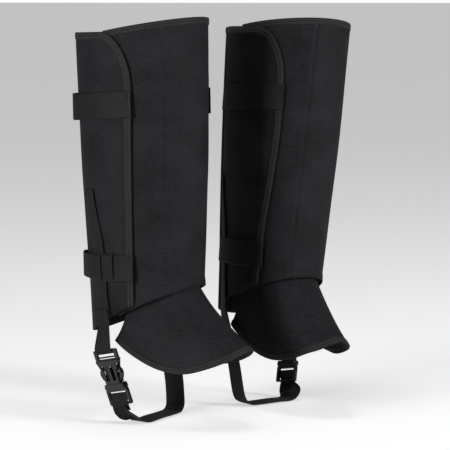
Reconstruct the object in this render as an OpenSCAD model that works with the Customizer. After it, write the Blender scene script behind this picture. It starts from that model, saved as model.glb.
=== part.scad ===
// A pair of knee-high gaiters with stiffened shin panels, worn over boots.
// Millimetres. +Z is up, toes point to -Y, the wearer's right gaiter is at -X, Z = 0 is the ground.
// Each gaiter is first built as the right one, about its own leg axis. The left one is its mirror image.

/* [Leg shell] */
// Height of the top rim above the ground
rim_z = 460; // [440:5:480]
// Height of the front hem, where the instep hood comes out
hem_z = 157; // [145:1:165]
// Half width of the leg at the rim, side to side
rim_half_width = 67; // [62:1:74]
// Half depth of the leg at the rim, front to back
rim_half_depth = 77; // [72:1:84]
// Half width of the leg at the front hem
hem_half_width = 52; // [48:1:58]
// Half depth of the leg at the front hem
hem_half_depth = 68; // [62:1:74]
// How much lower the hem is behind the heel than in front
hem_drop = 60; // [50:1:70]
// How much lower the rim is at the sides than in front
rim_drop = 12; // [4:1:20]
// Extra swell of the leg at mid calf
calf_swell = 2; // [0:0.5:5]

/* [Fabric] */
// Thickness of the shin fabric
fabric_t = 1.0; // [0.8:0.1:1.2]
// Thickness of the plastic boards in the shin channels
board_t = 1.6; // [1.2:0.1:1.8]
// Thickness of the wings and rear flaps
wing_t = 1.2; // [1.0:0.1:1.2]
// Width of the folded binding tape
binding_w = 7; // [6:0.5:9]

/* [Straps] */
// Width of the calf straps
strap_w = 30; // [25:1:34]
// Thickness of all webbing
webbing_t = 1.2; // [1.0:0.1:1.3]
// Height of the middle of the upper strap
upper_strap_z = 361; // [350:1:375]
// Height of the middle of the lower strap
lower_strap_z = 180; // [174:1:190]
// How much higher the upper strap is at its front end than behind the leg
strap_rise = 4; // [0:1:8]
// Width of the stirrup webbing
stirrup_w = 25; // [20:1:26]
// Height of the stirrup's bar tacks
tack_z = 268; // [250:1:290]

/* [Instep hood] */
// Reach of the hood's front edge, ahead of the leg axis
hood_reach = 134; // [120:1:140]
// Height of the hood's front edge
hood_front_z = 89; // [80:1:95]
// Half width of the hood over the boot
hood_half_width = 52; // [48:1:56]

/* [Buckle] */
// Width of the side-release buckle
buckle_w = 34; // [32:0.5:35]
// Thickness of the buckle
buckle_t = 8.6; // [8:0.2:10]

/* [Pair] */
// Distance between the two leg axes
pair_spacing = 170; // [165:0.5:220]
// How far the left gaiter stands ahead of the right one
left_ahead = 43.5; // [0:0.5:60]
// Toe-in of the right foot, in degrees
toe_in = 8; // [0:1:12]
// Toe-in of the left foot, in degrees
left_toe_in = 15; // [0:1:18]
// Backward lean of the right leg, in degrees
right_lean = 1.2; // [0:0.2:3]
// Forward lean of the left leg, in degrees
left_lean = 0; // [0:0.2:4]
// Outward lean of the left leg, in degrees
left_splay = 5; // [0:0.5:6]

/* [Hidden] */
PARTS = [
    "shin_panel", "shin_lining", "centre_board", "side_boards", "top_binding",
    "lateral_wing", "medial_wing", "wing_bindings",
    "lateral_rear_flap", "medial_rear_flap", "loop_strip", "hook_strip",
    "instep_hood", "hood_binding",
    "lateral_straps", "medial_straps", "rear_straps", "upper_tongue", "lower_tongue", "strap_keeper",
    "stirrup_webbing", "stirrup_loop", "buckle_socket", "buckle_plug", "front_prong", "rear_prong",
    "underfoot_webbing", "bar_tacks"
];

fabric_black = [0.13, 0.13, 0.15];
tape_grey = [0.22, 0.22, 0.21];
webbing_black = [0.09, 0.09, 0.09];
plastic_black = [0.04, 0.04, 0.045];
board_grey = [0.55, 0.56, 0.58];
lining_grey = [0.30, 0.30, 0.32];
thread_grey = [0.33, 0.33, 0.31];

// The leg leans about the ankle
ankle_z = 110;
// One facet spans about this angle around the leg
facet = 8;
// Clearance between neighbouring layers
gap = 0.4;

// Distances outward from the outer face of the shin fabric, to each layer's inner face
board_at = -fabric_t - gap - board_t;
lining_t = 0.8;
lining_at = board_at - gap - lining_t;
binding_t = 0.6;
binding_slack = 0.2;
wing_at = 2 * (binding_t + binding_slack) + gap;
stirrup_at = wing_at + wing_t + gap;
upper_strap_at = wing_at + wing_t + binding_slack + binding_t + gap;
lower_strap_at = stirrup_at + webbing_t + gap;
strip_t = 0.6;
loop_strip_at = wing_at + wing_t + gap;
hook_strip_at = loop_strip_at + strip_t + gap;
outer_flap_at = hook_strip_at + strip_t + gap;
rear_strap_at = outer_flap_at + wing_t + gap;

// Angles around the leg, from the front centre, positive on the lateral side
lateral_seam = 45;
// The medial seam slants: its angle at the hem and at the rim
medial_seam_low = -26;
medial_seam_high = -15;
shin_lateral_end = 98;
shin_medial_end = -94;
fold_line = 138;
lateral_flap_end = 188;
medial_flap_end = 168;
hinge_clearance = 0.35;
stirrup_angle = 126;

// ---- The leg's form ----

function mix(a, b, t) = a + (b - a) * t;
function clamp01(t) = max(0, min(1, t));
function ease(t) = let (c = clamp01(t)) c * c * (3 - 2 * c);

// Share of the way from the hem to the rim
function rise(z) = (z - hem_z) / (rim_z - hem_z);
function swell(z) = calf_swell * sin(180 * clamp01(rise(z)));
function half_width(z) = mix(hem_half_width, rim_half_width, rise(z)) + swell(z);
function half_depth(z) = mix(hem_half_depth, rim_half_depth, rise(z)) + swell(z);

// A point at an angle around the leg, a height, and a distance outward from the shin fabric
function on_leg(angle, z, out) = [
    -(half_width(z) + out) * sin(angle),
    -(half_depth(z) + out) * cos(angle),
    z
];

// Height of the bottom hem and of the top rim at an angle around the leg
function hem_at(angle) = hem_z - hem_drop * pow((1 - cos(angle)) / 2, 1.08);
function rim_at(angle) = rim_z - rim_drop * (1 - cos(angle));

// Front edge of each wing, as an angle, at a height. It is upright above the start of the rounded corner.
function lateral_edge(z) = mix(80, 73, (min(z, corner_z) - 110) / 273);
function medial_edge(z) = -(45 + 17 * ease((350 - z) / 230));

// The wings' top edge, and their rounded top front corner
wing_top_z = rim_z - 15;
corner_angle = 27;
corner_h = 62;
corner_z = wing_top_z - corner_h;
function wing_top_at(from_edge) =
    let (c = 1 - clamp01(abs(from_edge) / corner_angle))
    wing_top_z - corner_h * (1 - sqrt(1 - c * c));

// Columns of the corner, and number of facets from the corner to the wing's rear end
corner_steps = 8;
function facets_behind(edge, end) = ceil((abs(end - edge(corner_z)) - corner_angle) / facet);

// ---- Leaning and placing ----

// A rotation of a point about the ankle: forward lean, then outward lean
function lean_angles(side) = side == "right" ? [-right_lean, 0] : [left_lean, left_splay];
function leaned(side, p) =
    let (
        a = lean_angles(side), h = p[2] - ankle_z,
        y1 = p[1] * cos(a[0]) - h * sin(a[0]),
        z1 = p[1] * sin(a[0]) + h * cos(a[0]),
        x2 = p[0] * cos(a[1]) - z1 * sin(a[1]),
        z2 = p[0] * sin(a[1]) + z1 * cos(a[1])
    )
    [x2, y1, z2 + ankle_z];
function leaned_way(side, v) = leaned(side, v) - leaned(side, [0, 0, 0]);

// From the middle between the two leg axes to the middle of the pair's outline, which is the origin
outline_middle = [13.79, -21.19, 0];

// Puts a gaiter in its place in the pair
module place(side)
    translate(-outline_middle)
        if (side == "right")
            translate([-pair_spacing / 2, left_ahead / 2, 0]) rotate([0, 0, toe_in]) children();
        else
            translate([pair_spacing / 2, -left_ahead / 2, 0]) rotate([0, 0, -left_toe_in])
                mirror([1, 0, 0]) children();

// ---- Sheets and tapes ----

// Triangles of a grid of points, nu cells by nv cells, from a first index
function grid_faces(nu, nv, first, flip) = [
    for (i = [0:nu - 1]) for (j = [0:nv - 1])
        let (
            a = first + i * (nv + 1) + j, b = a + nv + 1,
            q = flip ? [[a, b + 1, b], [a, a + 1, b + 1]] : [[a, b, b + 1], [a, b + 1, a + 1]]
        )
        each q
];

// Triangles that join the borders of the outer and the inner grid
function rim_faces(nu, nv, n) =
    let (
        border = concat(
            [for (i = [0:nu - 1]) i * (nv + 1)],
            [for (j = [0:nv - 1]) nu * (nv + 1) + j],
            [for (i = [nu:-1:1]) i * (nv + 1) + nv],
            [for (j = [nv:-1:1]) j]
        ),
        m = len(border)
    )
    [for (k = [0:m - 1]) let (a = border[k], b = border[(k + 1) % m]) each [[a, a + n, b + n], [a, b + n, b]]];

// A closed sheet between two faces, each a function of two shares from 0 to 1
module sheet(nu, nv, outer, inner) {
    n = (nu + 1) * (nv + 1);
    points = [for (side_face = [outer, inner]) for (i = [0:nu]) for (j = [0:nv]) side_face(i / nu, j / nv)];
    polyhedron(points, concat(grid_faces(nu, nv, 0, false), grid_faces(nu, nv, n, true), rim_faces(nu, nv, n)));
}

// Two angles and every facet line between them. All layers bend at the same lines.
function facet_lines(from, to) =
    concat([from], [for (k = [floor(from / facet) + 1:ceil(to / facet) - 1]) k * facet], [to]);

// A sheet that follows the leg between two angles and two heights, each height a function of the angle
module leg_sheet(side, from, to, low, high, at, t, nv = 1) {
    columns = facet_lines(from, to);
    nu = len(columns) - 1;
    function spot(u, v, out) =
        let (angle = columns[round(u * nu)], z = mix(low(angle), high(angle), v))
        leaned(side, on_leg(angle, z, at(angle) + out));
    sheet(nu, nv, function(u, v) spot(u, v, t), function(u, v) spot(u, v, 0));
}

// An eight-sided profile carried along rows of points: every row is one closed section.
// Its end caps are quads of the section's points, as the section isn't convex.
module loft(rows, caps) {
    n = len(rows[0]);
    m = len(rows);
    sides = [
        for (i = [0:m - 2]) for (j = [0:n - 1])
            let (a = i * n + j, b = i * n + (j + 1) % n)
            each [[a, b, b + n], [a, b + n, a + n]]
    ];
    last = (m - 1) * n;
    ends = [
        for (q = caps) each [
            [q[0], q[2], q[1]], [q[0], q[3], q[2]],
            [last + q[0], last + q[1], last + q[2]], [last + q[0], last + q[2], last + q[3]]
        ]
    ];
    polyhedron([for (row = rows) each row], concat(sides, ends));
}

// Section of a binding tape folded over an edge: one point is [inward from the edge, across the sheet]
function tape_section(sheet_t) =
    let (o = sheet_t / 2 + binding_slack + binding_t, i = sheet_t / 2 + binding_slack)
    [
        [-0.9, -o], [binding_w, -o], [binding_w, -i], [-0.25, -i],
        [-0.25, i], [binding_w, i], [binding_w, o], [-0.9, o]
    ];

tape_caps = [[0, 1, 2, 3], [4, 5, 6, 7], [0, 3, 4, 7]];

function unit(v) = v / norm(v);

// Tape folded over an edge on the leg. The edge is a function of a share, giving [angle, z], and
// inward is a function of the same share, giving the direction into the sheet as [angle, z].
module leg_tape(side, n, edge, inward, at, sheet_t) {
    rows = [
        for (k = [0:n])
            let (
                u = k / n, e = edge(u), middle = at + sheet_t / 2,
                p = on_leg(e[0], e[1], middle),
                q = e + (binding_w - 1) * inward(u),
                into = unit(on_leg(q[0], q[1], middle) - p),
                normal = unit(on_leg(e[0], e[1], middle + 1) - p)
            )
            [for (s = tape_section(sheet_t)) leaned(side, p + s[0] * into + s[1] * normal)]
    ];
    loft(rows, tape_caps);
}

// Webbing through a list of stations, each [middle, outward normal], with its own section as a third
// entry where it has to follow the leg's curve. A section is four outer points and four inner ones.
ribbon_caps = [[0, 1, 6, 7], [1, 2, 5, 6], [2, 3, 4, 5]];
module ribbon(stations, w, t) {
    last = len(stations) - 1;
    loft([
        for (k = [0:last])
            let (
                s = stations[k], out = unit(s[1]),
                along = stations[min(k + 1, last)][0] - stations[max(k - 1, 0)][0],
                across = unit(cross(out, along))
            )
            len(s) > 2 ? s[2]
            : concat(
                [for (j = [0:3]) s[0] + (j / 3 - 0.5) * w * across + t / 2 * out],
                [for (j = [3:-1:0]) s[0] + (j / 3 - 0.5) * w * across - t / 2 * out]
            )
    ], ribbon_caps);
}

// ---- Shin panel ----

function level(z) = function(angle) z;
function layer(at) = function(angle) at;

module shin_panel(side)
    color(fabric_black)
        leg_sheet(
            side, shin_medial_end, shin_lateral_end,
            function(a) hem_at(a), function(a) rim_at(a), layer(-fabric_t), fabric_t, 6
        );

module shin_lining(side)
    color(lining_grey)
        leg_sheet(
            side, shin_medial_end + 2, shin_lateral_end - 2,
            function(a) hem_at(a) + 6, function(a) rim_at(a) - 9, layer(lining_at), lining_t, 4
        );

// A plastic board in its sewn channel. Its sides are angles, given at the bottom and at the top.
module board(side, low_from, high_from, low_to, high_to) {
    nu = ceil((low_to - low_from) / facet);
    function spot(u, v, out) =
        let (
            angle = mix(mix(low_from, high_from, v), mix(low_to, high_to, v), u),
            z = mix(hem_at(angle) + 14, rim_at(angle) - 14, v)
        )
        leaned(side, on_leg(angle, z, board_at + out));
    color(board_grey)
        sheet(nu, 4, function(u, v) spot(u, v, board_t), function(u, v) spot(u, v, 0));
}

module centre_board(side)
    board(side, medial_seam_low + 2, medial_seam_high + 2, lateral_seam - 2, lateral_seam - 2);

module side_boards(side) {
    board(side, lateral_seam + 2, lateral_seam + 2, shin_lateral_end - 4, shin_lateral_end - 4);
    board(side, shin_medial_end + 4, shin_medial_end + 4, medial_seam_low - 2, medial_seam_high - 2);
}

module top_binding(side)
    color(tape_grey)
        leg_tape(
            side, 24,
            function(u) let (a = mix(shin_medial_end, shin_lateral_end, u)) [a, rim_at(a)],
            function(u) [0, -1], -fabric_t, fabric_t
        );

// ---- Wings: the side panels that lie over the shin panel's edges ----

// The wing is a grid whose first column follows its front edge. Its next columns end where the binding
// turns round the corner, and the rest are a facet apart.
module wing(side, edge, end) {
    way = sign(end);
    corner_edge = edge(corner_z);
    span = abs(end - corner_edge);
    rest = facets_behind(edge, end);
    shares = concat(
        [for (k = [0:corner_steps]) corner_angle * (1 - cos(90 * k / corner_steps)) / span],
        [for (k = [1:rest]) mix(corner_angle / span, 1, k / rest)]
    );
    nu = corner_steps + rest;
    function spot(u, v, out) =
        let (
            s = shares[round(u * nu)],
            top = wing_top_at(s * span),
            low = hem_at(mix(edge(hem_z), end, s)) + 2,
            z = mix(low, top, v),
            angle = mix(edge(z), end, s)
        )
        leaned(side, on_leg(angle, z, wing_at + out));
    if (way > 0)
        sheet(nu, 9, function(u, v) spot(u, v, wing_t), function(u, v) spot(u, v, 0));
    else
        sheet(nu, 9, function(u, v) spot(1 - u, v, wing_t), function(u, v) spot(1 - u, v, 0));
}

module lateral_wing(side) color(fabric_black) wing(side, function(z) lateral_edge(z), fold_line - hinge_clearance);
module medial_wing(side) color(fabric_black) wing(side, function(z) medial_edge(z), hinge_clearance - fold_line);

// The binding runs up the front edge, round the corner and along the top
module wing_binding(side, edge, end) {
    way = sign(end);
    straight = 9;
    bend = corner_steps;
    flat = facets_behind(edge, end);
    n = straight + bend + flat;
    corner_edge = edge(corner_z);
    low_z = hem_at(edge(hem_z)) + 3;
    function spot(k) =
        k <= straight ? let (z = mix(low_z, corner_z, k / straight)) [edge(z), z]
        : k <= straight + bend
            ? let (turn = 90 * (k - straight) / bend)
                [corner_edge + way * corner_angle * (1 - cos(turn)), corner_z + corner_h * sin(turn)]
        : [mix(corner_edge + way * corner_angle, end, (k - straight - bend) / flat), wing_top_z];
    function into(k) =
        k <= straight ? [way, 0]
        : k <= straight + bend ? let (turn = 90 * (k - straight) / bend) [way * cos(turn) * 0.8, -sin(turn)]
        : [0, -1];
    order = way > 0 ? 0 : n;
    leg_tape(
        side, n,
        function(u) spot(abs(order - round(u * n))), function(u) into(abs(order - round(u * n))),
        wing_at, wing_t
    );
}

module wing_bindings(side)
    color(tape_grey) {
        wing_binding(side, function(z) lateral_edge(z), fold_line - hinge_clearance);
        wing_binding(side, function(z) medial_edge(z), hinge_clearance - fold_line);
    }

// ---- Rear closure ----

function flap_low(a) = hem_at(a) + 2;

module lateral_rear_flap(side)
    color(fabric_black)
        leg_sheet(
            side, fold_line + hinge_clearance, lateral_flap_end,
            function(a) flap_low(a), level(wing_top_z), layer(wing_at), wing_t, 6
        );

// The medial flap is the outer one, so it rises over the lateral flap's edge
function outer_rise(a) = mix(wing_at, outer_flap_at, ease((360 - fold_line - a) / 26));

module medial_rear_flap(side)
    color(fabric_black)
        leg_sheet(
            side, medial_flap_end, 360 - fold_line - hinge_clearance,
            function(a) flap_low(a), level(wing_top_z), function(a) outer_rise(a), wing_t, 6
        );

module closure_strip(side, at)
    leg_sheet(
        side, medial_flap_end + 3, lateral_flap_end - 3,
        level(hem_at(180) + 12), level(wing_top_z - 12), layer(at), strip_t, 6
    );

module loop_strip(side) color(thread_grey) closure_strip(side, loop_strip_at);
module hook_strip(side) color(webbing_black) closure_strip(side, hook_strip_at);

// ---- Calf straps ----

// Height of the middle of each strap at an angle round the leg
function upper_z(a) = upper_strap_z + strap_rise * clamp01((fold_line - abs(a)) / 65);
function lower_z(a) = lower_strap_z;

// A piece of strap along the leg between two angles
module strap_piece(side, from, to, z, at, w = strap_w)
    color(webbing_black)
        leg_sheet(side, from, to, function(a) z(a) - w / 2, function(a) z(a) + w / 2, at, webbing_t);

module lateral_straps(side) {
    strap_piece(
        side, lateral_edge(upper_strap_z) - 1, fold_line - 1, function(a) upper_z(a), layer(upper_strap_at)
    );
    strap_piece(
        side, lateral_edge(lower_strap_z) - 1, fold_line - 1, function(a) lower_z(a), layer(lower_strap_at)
    );
}

module medial_straps(side) {
    strap_piece(
        side, 1 - fold_line, medial_edge(upper_strap_z) + 1, function(a) upper_z(a), layer(upper_strap_at)
    );
    strap_piece(
        side, 1 - fold_line, medial_edge(lower_strap_z) + 3, function(a) lower_z(a), layer(lower_strap_at)
    );
}

// The medial straps go on over the outer rear flap, nearly to its free edge
rear_strap_end = medial_flap_end + 2;
function rear_strap_rise(a) = mix(lower_strap_at, rear_strap_at, ease((360 - fold_line - a) / 26));

module rear_straps(side)
    for (z = [upper_strap_z, lower_strap_z])
        strap_piece(side, rear_strap_end, 360 - fold_line - 1, level(z), function(a) rear_strap_rise(a));

// Each tongue runs on from the lateral side, and its hook face holds to the end of the medial strap
tongue_end = 177;
tongue_at = rear_strap_at + webbing_t + gap;
module tongue(side, start, z, start_at)
    strap_piece(
        side, start, tongue_end, level(z),
        function(a) mix(start_at, tongue_at, ease((a - fold_line) / 26)), strap_w - 2
    );

lower_tongue_start = 108.7;
module upper_tongue(side) tongue(side, fold_line, upper_strap_z, upper_strap_at);
module lower_tongue(side) tongue(side, lower_tongue_start, lower_strap_z, lower_strap_at + webbing_t + gap);

// The band that holds the lower tongue's front end down
keeper_from = 96;
keeper_to = 107.5;
module strap_keeper(side)
    strap_piece(
        side, keeper_from, keeper_to, level(lower_strap_z), layer(lower_strap_at + webbing_t + gap), strap_w - 1
    );

// ---- Stirrup ----

// Where the side-release buckle sits on an upright leg: middle, downward direction and outward normal
buckle_mid = [-48.5, 19, 53.5];
buckle_down = unit([12, -13, -60]);
buckle_side = unit(cross([-1, 0.12, 0], buckle_down));
buckle_out = cross(buckle_down, buckle_side);

function buckle_point(side, x, out, up) =
    leaned(side, buckle_mid + x * buckle_side + out * buckle_out - up * buckle_down);

// The buckle is drawn along +Z with its outer face towards -Y
module at_buckle(side) {
    x = leaned_way(side, buckle_side);
    y = -leaned_way(side, buckle_out);
    z = -leaned_way(side, buckle_down);
    middle = buckle_point(side, 0, 0, 0);
    multmatrix([for (i = [0:2]) [x[i], y[i], z[i], middle[i]]]) children();
}

// The stirrup webbing's angle around the leg: it comes forward on its way down to the buckle
function stirrup_angle_at(z) = stirrup_angle - 9 * ease((tack_z - z) / 75) - 4 * ease((150 - z) / 46);

// Distance round the leg for each degree, at an angle and a height
function arc_per_degree(angle, z) =
    norm([half_width(z) * cos(angle), half_depth(z) * sin(angle)]) * PI / 180;

// A station of webbing of a width that lies curved round the leg
function leg_station(side, way, z, at, w) =
    let (
        angle = way * stirrup_angle_at(z), p = leaned(side, on_leg(angle, z, at)),
        turn = w / arc_per_degree(angle, z),
        row = function(out) [for (j = [0:3]) leaned(side, on_leg(angle + (j / 3 - 0.5) * turn, z, at + out))],
        outer = row(webbing_t / 2), inner = row(-webbing_t / 2)
    )
    [
        p, leaned(side, on_leg(angle, z, at + 1)) - p,
        [outer[0], outer[1], outer[2], outer[3], inner[3], inner[2], inner[1], inner[0]]
    ];

stirrup_low_z = 120;
stirrup_levels = [125, 131, 140, 150, 170, 190, 210, 230, 250, tack_z];
loop_lap = 11;

module stirrup_webbing(side)
    color(webbing_black)
        ribbon(
            [for (z = concat([stirrup_low_z], stirrup_levels))
                leg_station(side, 1, z, stirrup_at + webbing_t / 2, stirrup_w)],
            stirrup_w, webbing_t
        );

// A loop of webbing round the socket's top bar, lapped over the end of the fixed webbing
bar_low = 30.5;
bar_top = 33;
bar_t = 3;
loop_out = bar_t / 2 + webbing_t / 2 + gap;
module stirrup_loop(side) {
    lap_at = stirrup_at + 1.5 * webbing_t + 0.7;
    loop_w = stirrup_w - 1;
    function around(out, up, normal) = [buckle_point(side, 0, out, up), leaned_way(side, normal)];
    color(webbing_black)
        ribbon(
            [
                around(-loop_out, bar_top, -buckle_out),
                around(-loop_out, bar_low + 0.5, -buckle_out),
                around(-1.9, bar_low - 1.5, buckle_down - buckle_out),
                around(1.9, bar_low - 1.5, buckle_down + buckle_out),
                around(loop_out, bar_low + 0.5, buckle_out),
                around(loop_out, bar_top + 3, buckle_out),
                leg_station(side, 1, stirrup_low_z - 9, lap_at + 1.2, loop_w),
                leg_station(side, 1, stirrup_low_z - 1, lap_at + 0.6, loop_w),
                leg_station(side, 1, stirrup_low_z + loop_lap, lap_at + 0.3, loop_w)
            ],
            loop_w, webbing_t
        );
}

// From the plug's frame, under the boot and up the inner side to the medial bar tack
arch_y = -6;
module underfoot_webbing(side) {
    low_end = buckle_point(side, 0, 1.5, -42);
    function from_plug(out, up) = [buckle_point(side, 0, out, up), leaned_way(side, buckle_out)];
    function under(x) = [[x, arch_y, webbing_t / 2], [0, 0, -1]];
    color(webbing_black)
        ribbon(
            concat(
                [
                    from_plug(0, -19), from_plug(0.8, -25), from_plug(3, -30), from_plug(3, -36),
                    [low_end, [-1, 0, -0.4]],
                    [[low_end[0] + 3, mix(low_end[1], arch_y, 0.75), 6], [-0.7, 0, -1]],
                    under(low_end[0] + 12), under(32),
                    [[42, arch_y, 4], [0.8, 0, -1]],
                    [[49, arch_y + 2, 14], [1, 0, -0.3]],
                    [[52, 2, 50], [1, 0.05, 0]],
                    [[51, 16, 84], [1, 0.2, 0]]
                ],
                [for (z = concat([108, 116], stirrup_levels))
                    leg_station(side, -1, z, stirrup_at + webbing_t / 2, stirrup_w)]
            ),
            stirrup_w, webbing_t
        );
}

// Dense rows of thread that hold the stirrup webbing to both wings
module bar_tacks(side)
    for (angle = [stirrup_angle, -stirrup_angle])
        color(thread_grey)
            leg_sheet(
                side, angle - 8, angle + 8, level(tack_z - 7), level(tack_z - 4),
                layer(stirrup_at + webbing_t + gap), 0.6
            );

// ---- Instep hood ----

// The hood's inner face, from inside the leg shell (v = 0) to its bound front edge (v = 1).
// The angle goes from the medial corner, over the foot, to the lateral corner.
hood_t = 1.4;
hood_end = 90;
// The rear corners are tucked in under the stirrup webbing, by this much inward and rearward
hood_tuck = 9.5;
hood_tuck_back = 13;
hood_middle_y = 5;
function hood_edge(angle, out) =
    let (
        a = abs(angle),
        tucked = ease((a - 60) / 30),
        dip = 25 * pow(sin(1.5 * min(a, 60)), 2),
        lift = 31 * pow(max(0, a - 60) / 30, 2)
    )
    [
        -(hood_half_width - hood_tuck * tucked + out) * sin(angle),
        hood_middle_y + hood_tuck_back * tucked - (hood_reach + hood_middle_y + out) * cos(angle),
        hood_front_z - dip + lift
    ];
function hood_root(side, angle, down, out) =
    let (z = hem_at(angle) + 18 - down)
    leaned(side, [-(hem_half_width - 9 + out) * sin(angle), -(hem_half_depth - 13 + out) * cos(angle), z]);
function hood_point(side, angle, v, out) =
    let (p = hood_root(side, angle, 0, out), q = hood_root(side, angle, 27, out), r = hood_edge(angle, out))
    p * pow(1 - v, 2) + q * 2 * v * (1 - v) + r * v * v + [0, 0, out * v * cos(angle)];

hood_columns = 20;
hood_rows = 7;
module instep_hood(side)
    color(fabric_black)
        sheet(
            hood_columns, hood_rows,
            function(u, v) hood_point(side, mix(-hood_end, hood_end, u), 1 - v, hood_t),
            function(u, v) hood_point(side, mix(-hood_end, hood_end, u), 1 - v, 0)
        );

// The binding bends at the hood's own columns
module hood_binding(side) {
    rows = [
        for (k = [0:hood_columns])
            let (
                angle = mix(-hood_end, hood_end, k / hood_columns), back = 1 - 1 / hood_rows,
                p = (hood_point(side, angle, 1, hood_t) + hood_point(side, angle, 1, 0)) / 2,
                into = unit((hood_point(side, angle, back, hood_t) + hood_point(side, angle, back, 0)) / 2 - p),
                along = hood_point(side, angle + 1, 1, 0) - hood_point(side, angle - 1, 1, 0),
                normal = unit(cross(into, along))
            )
            [for (s = tape_section(hood_t + gap)) p + (s[0] - gap) * into + s[1] * normal]
    ];
    color(tape_grey) loft(rows, tape_caps);
}

// ---- Side-release buckle, drawn along +Z with its outer face towards -Y ----

plate_t = 1.6;
prong_t = 4.4;
slot_w = stirrup_w + 0.6;

// A plate cut from an outline in the X-Z plane, centred on a depth
module plate(t, y = 0) translate([0, y + t / 2, 0]) rotate([90, 0, 0]) linear_extrude(t) children();

// Outlines are drawn for a buckle 30 wide, and widened from there
function widened(points) = [for (p = points) [p[0] * buckle_w / 30, p[1]]];

module socket_body()
    polygon(widened([
        [-14, 21], [14, 21], [11, 13], [9, 3], [9, -7], [-9, -7], [-9, 3], [-11, 13]
    ]));
module socket_frame()
    translate([-buckle_w / 2, 19]) square([buckle_w, bar_top - 19]);

// The two long openings in each face of the socket
module socket_slots()
    for (s = [-1, 1])
        polygon(widened([[s * 2, 15], [s * 8.5, 15], [s * 6.5, 3], [s * 6.5, -3], [s * 2, -3]]));

module buckle_socket(side)
    color(plastic_black)
        at_buckle(side) {
            difference() {
                union() {
                    plate(buckle_t) socket_body();
                    plate(bar_t) socket_frame();
                }
                // Cavity for the prongs, open at the mouth and at both sides
                translate([-buckle_w, -buckle_t / 2 + plate_t, -20])
                    cube([2 * buckle_w, buckle_t - 2 * plate_t, 37]);
                plate(2 * buckle_t) socket_slots();
                // Window for the webbing
                translate([-slot_w / 2, -buckle_t, 22]) cube([slot_w, 2 * buckle_t, bar_low - 22]);
            }
            // Thin cross-bar in the window
            translate([-slot_w / 2 - 1, -0.8, 23.5]) cube([slot_w + 2, 1.6, 1.6]);
        }

module buckle_plug(side)
    color(plastic_black)
        at_buckle(side) {
            // Shoulder that meets the socket's mouth
            plate(buckle_t - 0.6) polygon(widened([[-12, -7.6], [12, -7.6], [13, -13], [-13, -13]]));
            // Frame with a slot for the webbing
            difference() {
                plate(4)
                    polygon(widened([
                        [-13, -12.8], [13, -12.8], [14, -16], [14, -33], [-14, -33], [-14, -16]
                    ]));
                translate([-slot_w / 2, -5, -31]) cube([slot_w, 10, 14]);
            }
            // Guide tongue between the prongs
            plate(prong_t - 0.4) polygon([[-1.6, -8], [1.6, -8], [1.2, 11], [-1.2, 11]]);
        }

// A springy arm with a rounded finger lobe. It bends about its foot.
prong_z = -7.2;
module prong(side, s)
    color(plastic_black)
        at_buckle(side)
            plate(prong_t)
                difference() {
                    polygon(widened([
                        [s * 5.4, prong_z + 0.2], [s * 8.2, prong_z + 0.2], [s * 12.6, -1], [s * 14.2, 4],
                        [s * 13.6, 8.5], [s * 10, 12.6], [s * 5.2, 16.4], [s * 4, 15.4], [s * 4.6, 8]
                    ]));
                    polygon(widened([[s * 7, -3], [s * 10.6, 1.2], [s * 11.6, 4.6], [s * 10.8, 7.4], [s * 7, 10]]));
                }

module front_prong(side) prong(side, 1);
module rear_prong(side) prong(side, -1);

// ---- The pair ----

module gaiter_part(side, part)
    place(side) {
        if (part == "shin_panel") shin_panel(side);
        if (part == "shin_lining") shin_lining(side);
        if (part == "centre_board") centre_board(side);
        if (part == "side_boards") side_boards(side);
        if (part == "top_binding") top_binding(side);
        if (part == "lateral_wing") lateral_wing(side);
        if (part == "medial_wing") medial_wing(side);
        if (part == "wing_bindings") wing_bindings(side);
        if (part == "lateral_rear_flap") lateral_rear_flap(side);
        if (part == "medial_rear_flap") medial_rear_flap(side);
        if (part == "loop_strip") loop_strip(side);
        if (part == "hook_strip") hook_strip(side);
        if (part == "instep_hood") instep_hood(side);
        if (part == "hood_binding") hood_binding(side);
        if (part == "lateral_straps") lateral_straps(side);
        if (part == "medial_straps") medial_straps(side);
        if (part == "rear_straps") rear_straps(side);
        if (part == "upper_tongue") upper_tongue(side);
        if (part == "lower_tongue") lower_tongue(side);
        if (part == "strap_keeper") strap_keeper(side);
        if (part == "stirrup_webbing") stirrup_webbing(side);
        if (part == "stirrup_loop") stirrup_loop(side);
        if (part == "buckle_socket") buckle_socket(side);
        if (part == "buckle_plug") buckle_plug(side);
        if (part == "front_prong") front_prong(side);
        if (part == "rear_prong") rear_prong(side);
        if (part == "underfoot_webbing") underfoot_webbing(side);
        if (part == "bar_tacks") bar_tacks(side);
    }

for (side = ["right", "left"])
    for (part = PARTS)
        gaiter_part(side, part);
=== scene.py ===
"""A pair of knee-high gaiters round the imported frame: cloth shells, bound edges, webbing and buckles."""

import math

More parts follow.
